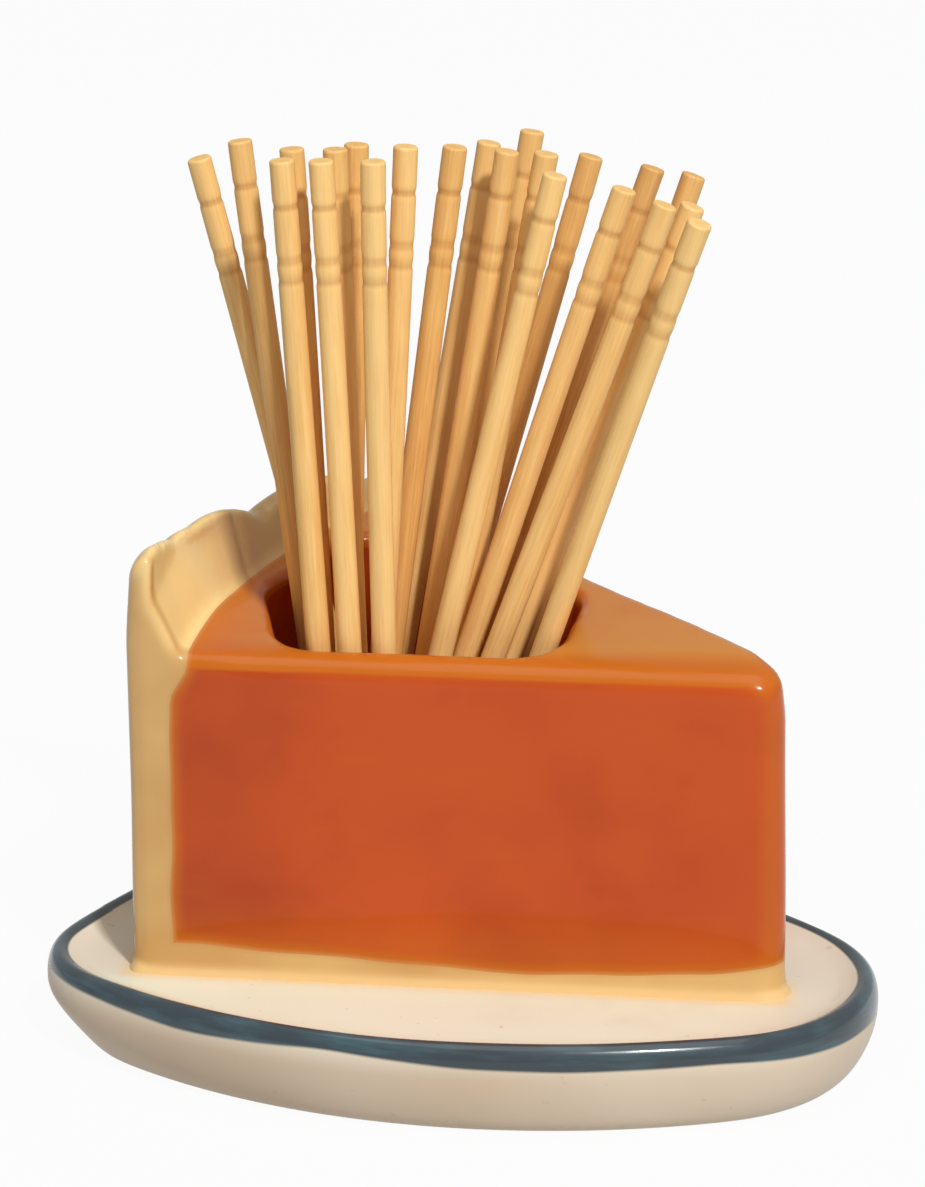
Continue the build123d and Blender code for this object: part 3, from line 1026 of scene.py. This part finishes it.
class HOLDER_OT_picks(bpy.types.Operator):
    """Make the toothpicks"""

    bl_idname = "holder.picks"
    bl_label = "Toothpicks"

    def execute(self, context):
        settings = context.scene.holder_picks
        tree = pick_tree()
        wood = pick_wood(settings)
        keys = {item.name: item.identifier for item in tree.interface.items_tree if item.in_out == "INPUT"}
        for number, node in enumerate(PICK_NODES):
            foot, head = pick_ends(node)
            values = {
                "Foot": foot, "Head": head, "Bow": PICK_BOW * math.sin(number * PICK_BOW_TURN),
                "Lobe": number * PICK_LOBE_TURN, "Tone And Shade": PICK_TONES_AND_SHADE[number % len(PICK_TONES_AND_SHADE)],
                "Radius": settings.radius, "Tip Radius": settings.tip_radius, "Taper": settings.taper,
                "Groove Depth": settings.groove_depth, "Wood": wood,
            }
            blank = place_object(node + "_blank", bpy.data.meshes.new(node + "_blank"))
            shape = blank.modifiers.new("shape", "NODES")
            shape.node_group = tree
            for name, value in values.items():
                shape[keys[name]] = value
            piece = place_object(node + "_wood", finished_mesh(blank, node + "_wood"))
            set_down(piece, node, "pick_wood", node)
        return {"FINISHED"}


# Stage

TABLE_HALF = 3.0
# Share of the table's seen brightness that is its own
TABLE_GLOW = 0.95
# Strength of the room in reflections
ROOM_GLOSS = 0.5
KEY_SIZE, KEY_PLACE = 0.14, (0.575, -1.06, 1.08)
TOP_SIZE, TOP_PLACE = 1.2, (0.1, -0.25, 1.5)
LAMP_AIM = (0, 0, 0.03)


def lamp(name, power, size, place, aim):
    light = bpy.data.lights.new(name, "AREA")
    light.energy = power
    light.size = size
    made = place_object(name, light)
    made.location = place
    made.rotation_euler = (Vector(aim) - Vector(place)).to_track_quat("-Z", "Y").to_euler()


def table_top():
    """White table whose seen brightness is mostly its own, with a soft shadow left in it."""
    finish = Finish("table_white", {"Roughness": 0.9, "Base Color": (0.6, 0.6, 0.6, 1)})
    path = finish.node("ShaderNodeLightPath", None, None, "Is Camera Ray")
    seen = path.call("MAXIMUM", path.out("Is Glossy Ray")).call("MAXIMUM", path.out("Is Transmission Ray"))
    glow = finish.node("ShaderNodeEmission", None, {"Color": (1.0, 1.0, 1.0), "Strength": 1.0})
    both = finish.node("ShaderNodeMixShader", None, {
        0: seen * TABLE_GLOW, 1: Wire(finish, finish.shader.outputs["BSDF"]), 2: glow})
    finish.tree.links.new(both.socket, finish.tree.nodes["Material Output"].inputs["Surface"])
    return finish.material


def studio_room(strength):
    """White room: full to the camera, half in reflections and dim as a light."""
    world = bpy.data.worlds.new("studio_room")
    world.use_nodes = True
    bpy.context.scene.world = world
    board = Board(world.node_tree)
    path = board.node("ShaderNodeLightPath", None, None, "Is Camera Ray")
    seen = path.call("MAXIMUM", path.out("Is Transmission Ray"))
    level = strength + seen * (1 - strength) + path.out("Is Glossy Ray") * (ROOM_GLOSS - strength)
    back = world.node_tree.nodes["Background"]
    back.inputs["Color"].default_value = (1, 1, 1, 1)
    world.node_tree.links.new(level.socket, back.inputs["Strength"])


class HOLDER_OT_stage(bpy.types.Operator):
    """Make the table, the lamps and the camera"""

    bl_idname = "holder.stage"
    bl_label = "Stage"

    def execute(self, context):
        settings = context.scene.holder_stage
        scene = context.scene
        scene.view_settings.view_transform = "Standard"
        shell = bmesh.new()
        bmesh.ops.create_grid(shell, x_segments=1, y_segments=1, size=TABLE_HALF)
        mesh = new_mesh("table", shell)
        place_object("table", mesh, table_top())
        lamp("key_lamp", settings.key, KEY_SIZE, KEY_PLACE, LAMP_AIM)
        lamp("top_lamp", settings.top, TOP_SIZE, TOP_PLACE, LAMP_AIM)
        studio_room(settings.sky)
        camera = bpy.data.cameras.new("camera")
        camera.lens = settings.lens
        camera.clip_start = 0.01
        camera.clip_end = 20
        viewer = place_object("camera", camera)
        turn, rise = settings.azimuth, settings.elevation
        back = Vector((math.sin(turn) * math.cos(rise), -math.cos(turn) * math.cos(rise), math.sin(rise)))
        viewer.location = Vector(settings.aim) + back * settings.distance
        viewer.rotation_euler = (math.pi / 2 - rise, 0, turn)
        scene.camera = viewer
        return {"FINISHED"}


class HOLDER_PT_panel(bpy.types.Panel):
    """Lists the pieces and their settings"""

    bl_label = "Toothpick holder"
    bl_idname = "HOLDER_PT_panel"
    bl_space_type = "VIEW_3D"
    bl_region_type = "UI"
    bl_category = "Holder"

    def draw(self, context):
        for group, operator in zip(SETTINGS, OPERATORS):
            box = self.layout.box()
            box.operator(operator.bl_idname)
            settings = getattr(context.scene, group)
            for name in settings.__annotations__:
                box.prop(settings, name)


SETTINGS = {
    "holder_plate": PlateSettings, "holder_slice": SliceSettings,
    "holder_picks": PickSettings, "holder_stage": StageSettings,
}
OPERATORS = (HOLDER_OT_plate, HOLDER_OT_slice, HOLDER_OT_picks, HOLDER_OT_stage)
CLASSES = (*SETTINGS.values(), *OPERATORS, HOLDER_PT_panel)


def register():
    for kind in CLASSES:
        bpy.utils.register_class(kind)
    for group, kind in SETTINGS.items():
        setattr(bpy.types.Scene, group, PointerProperty(type=kind))


def unregister():
    for group in SETTINGS:
        delattr(bpy.types.Scene, group)
    for kind in reversed(CLASSES):
        bpy.utils.unregister_class(kind)


def main():
    register()
    bpy.ops.holder.stage()
    bpy.ops.holder.plate()
    bpy.ops.holder.slice()
    bpy.ops.holder.picks()


if __name__ == "__main__":
    main()
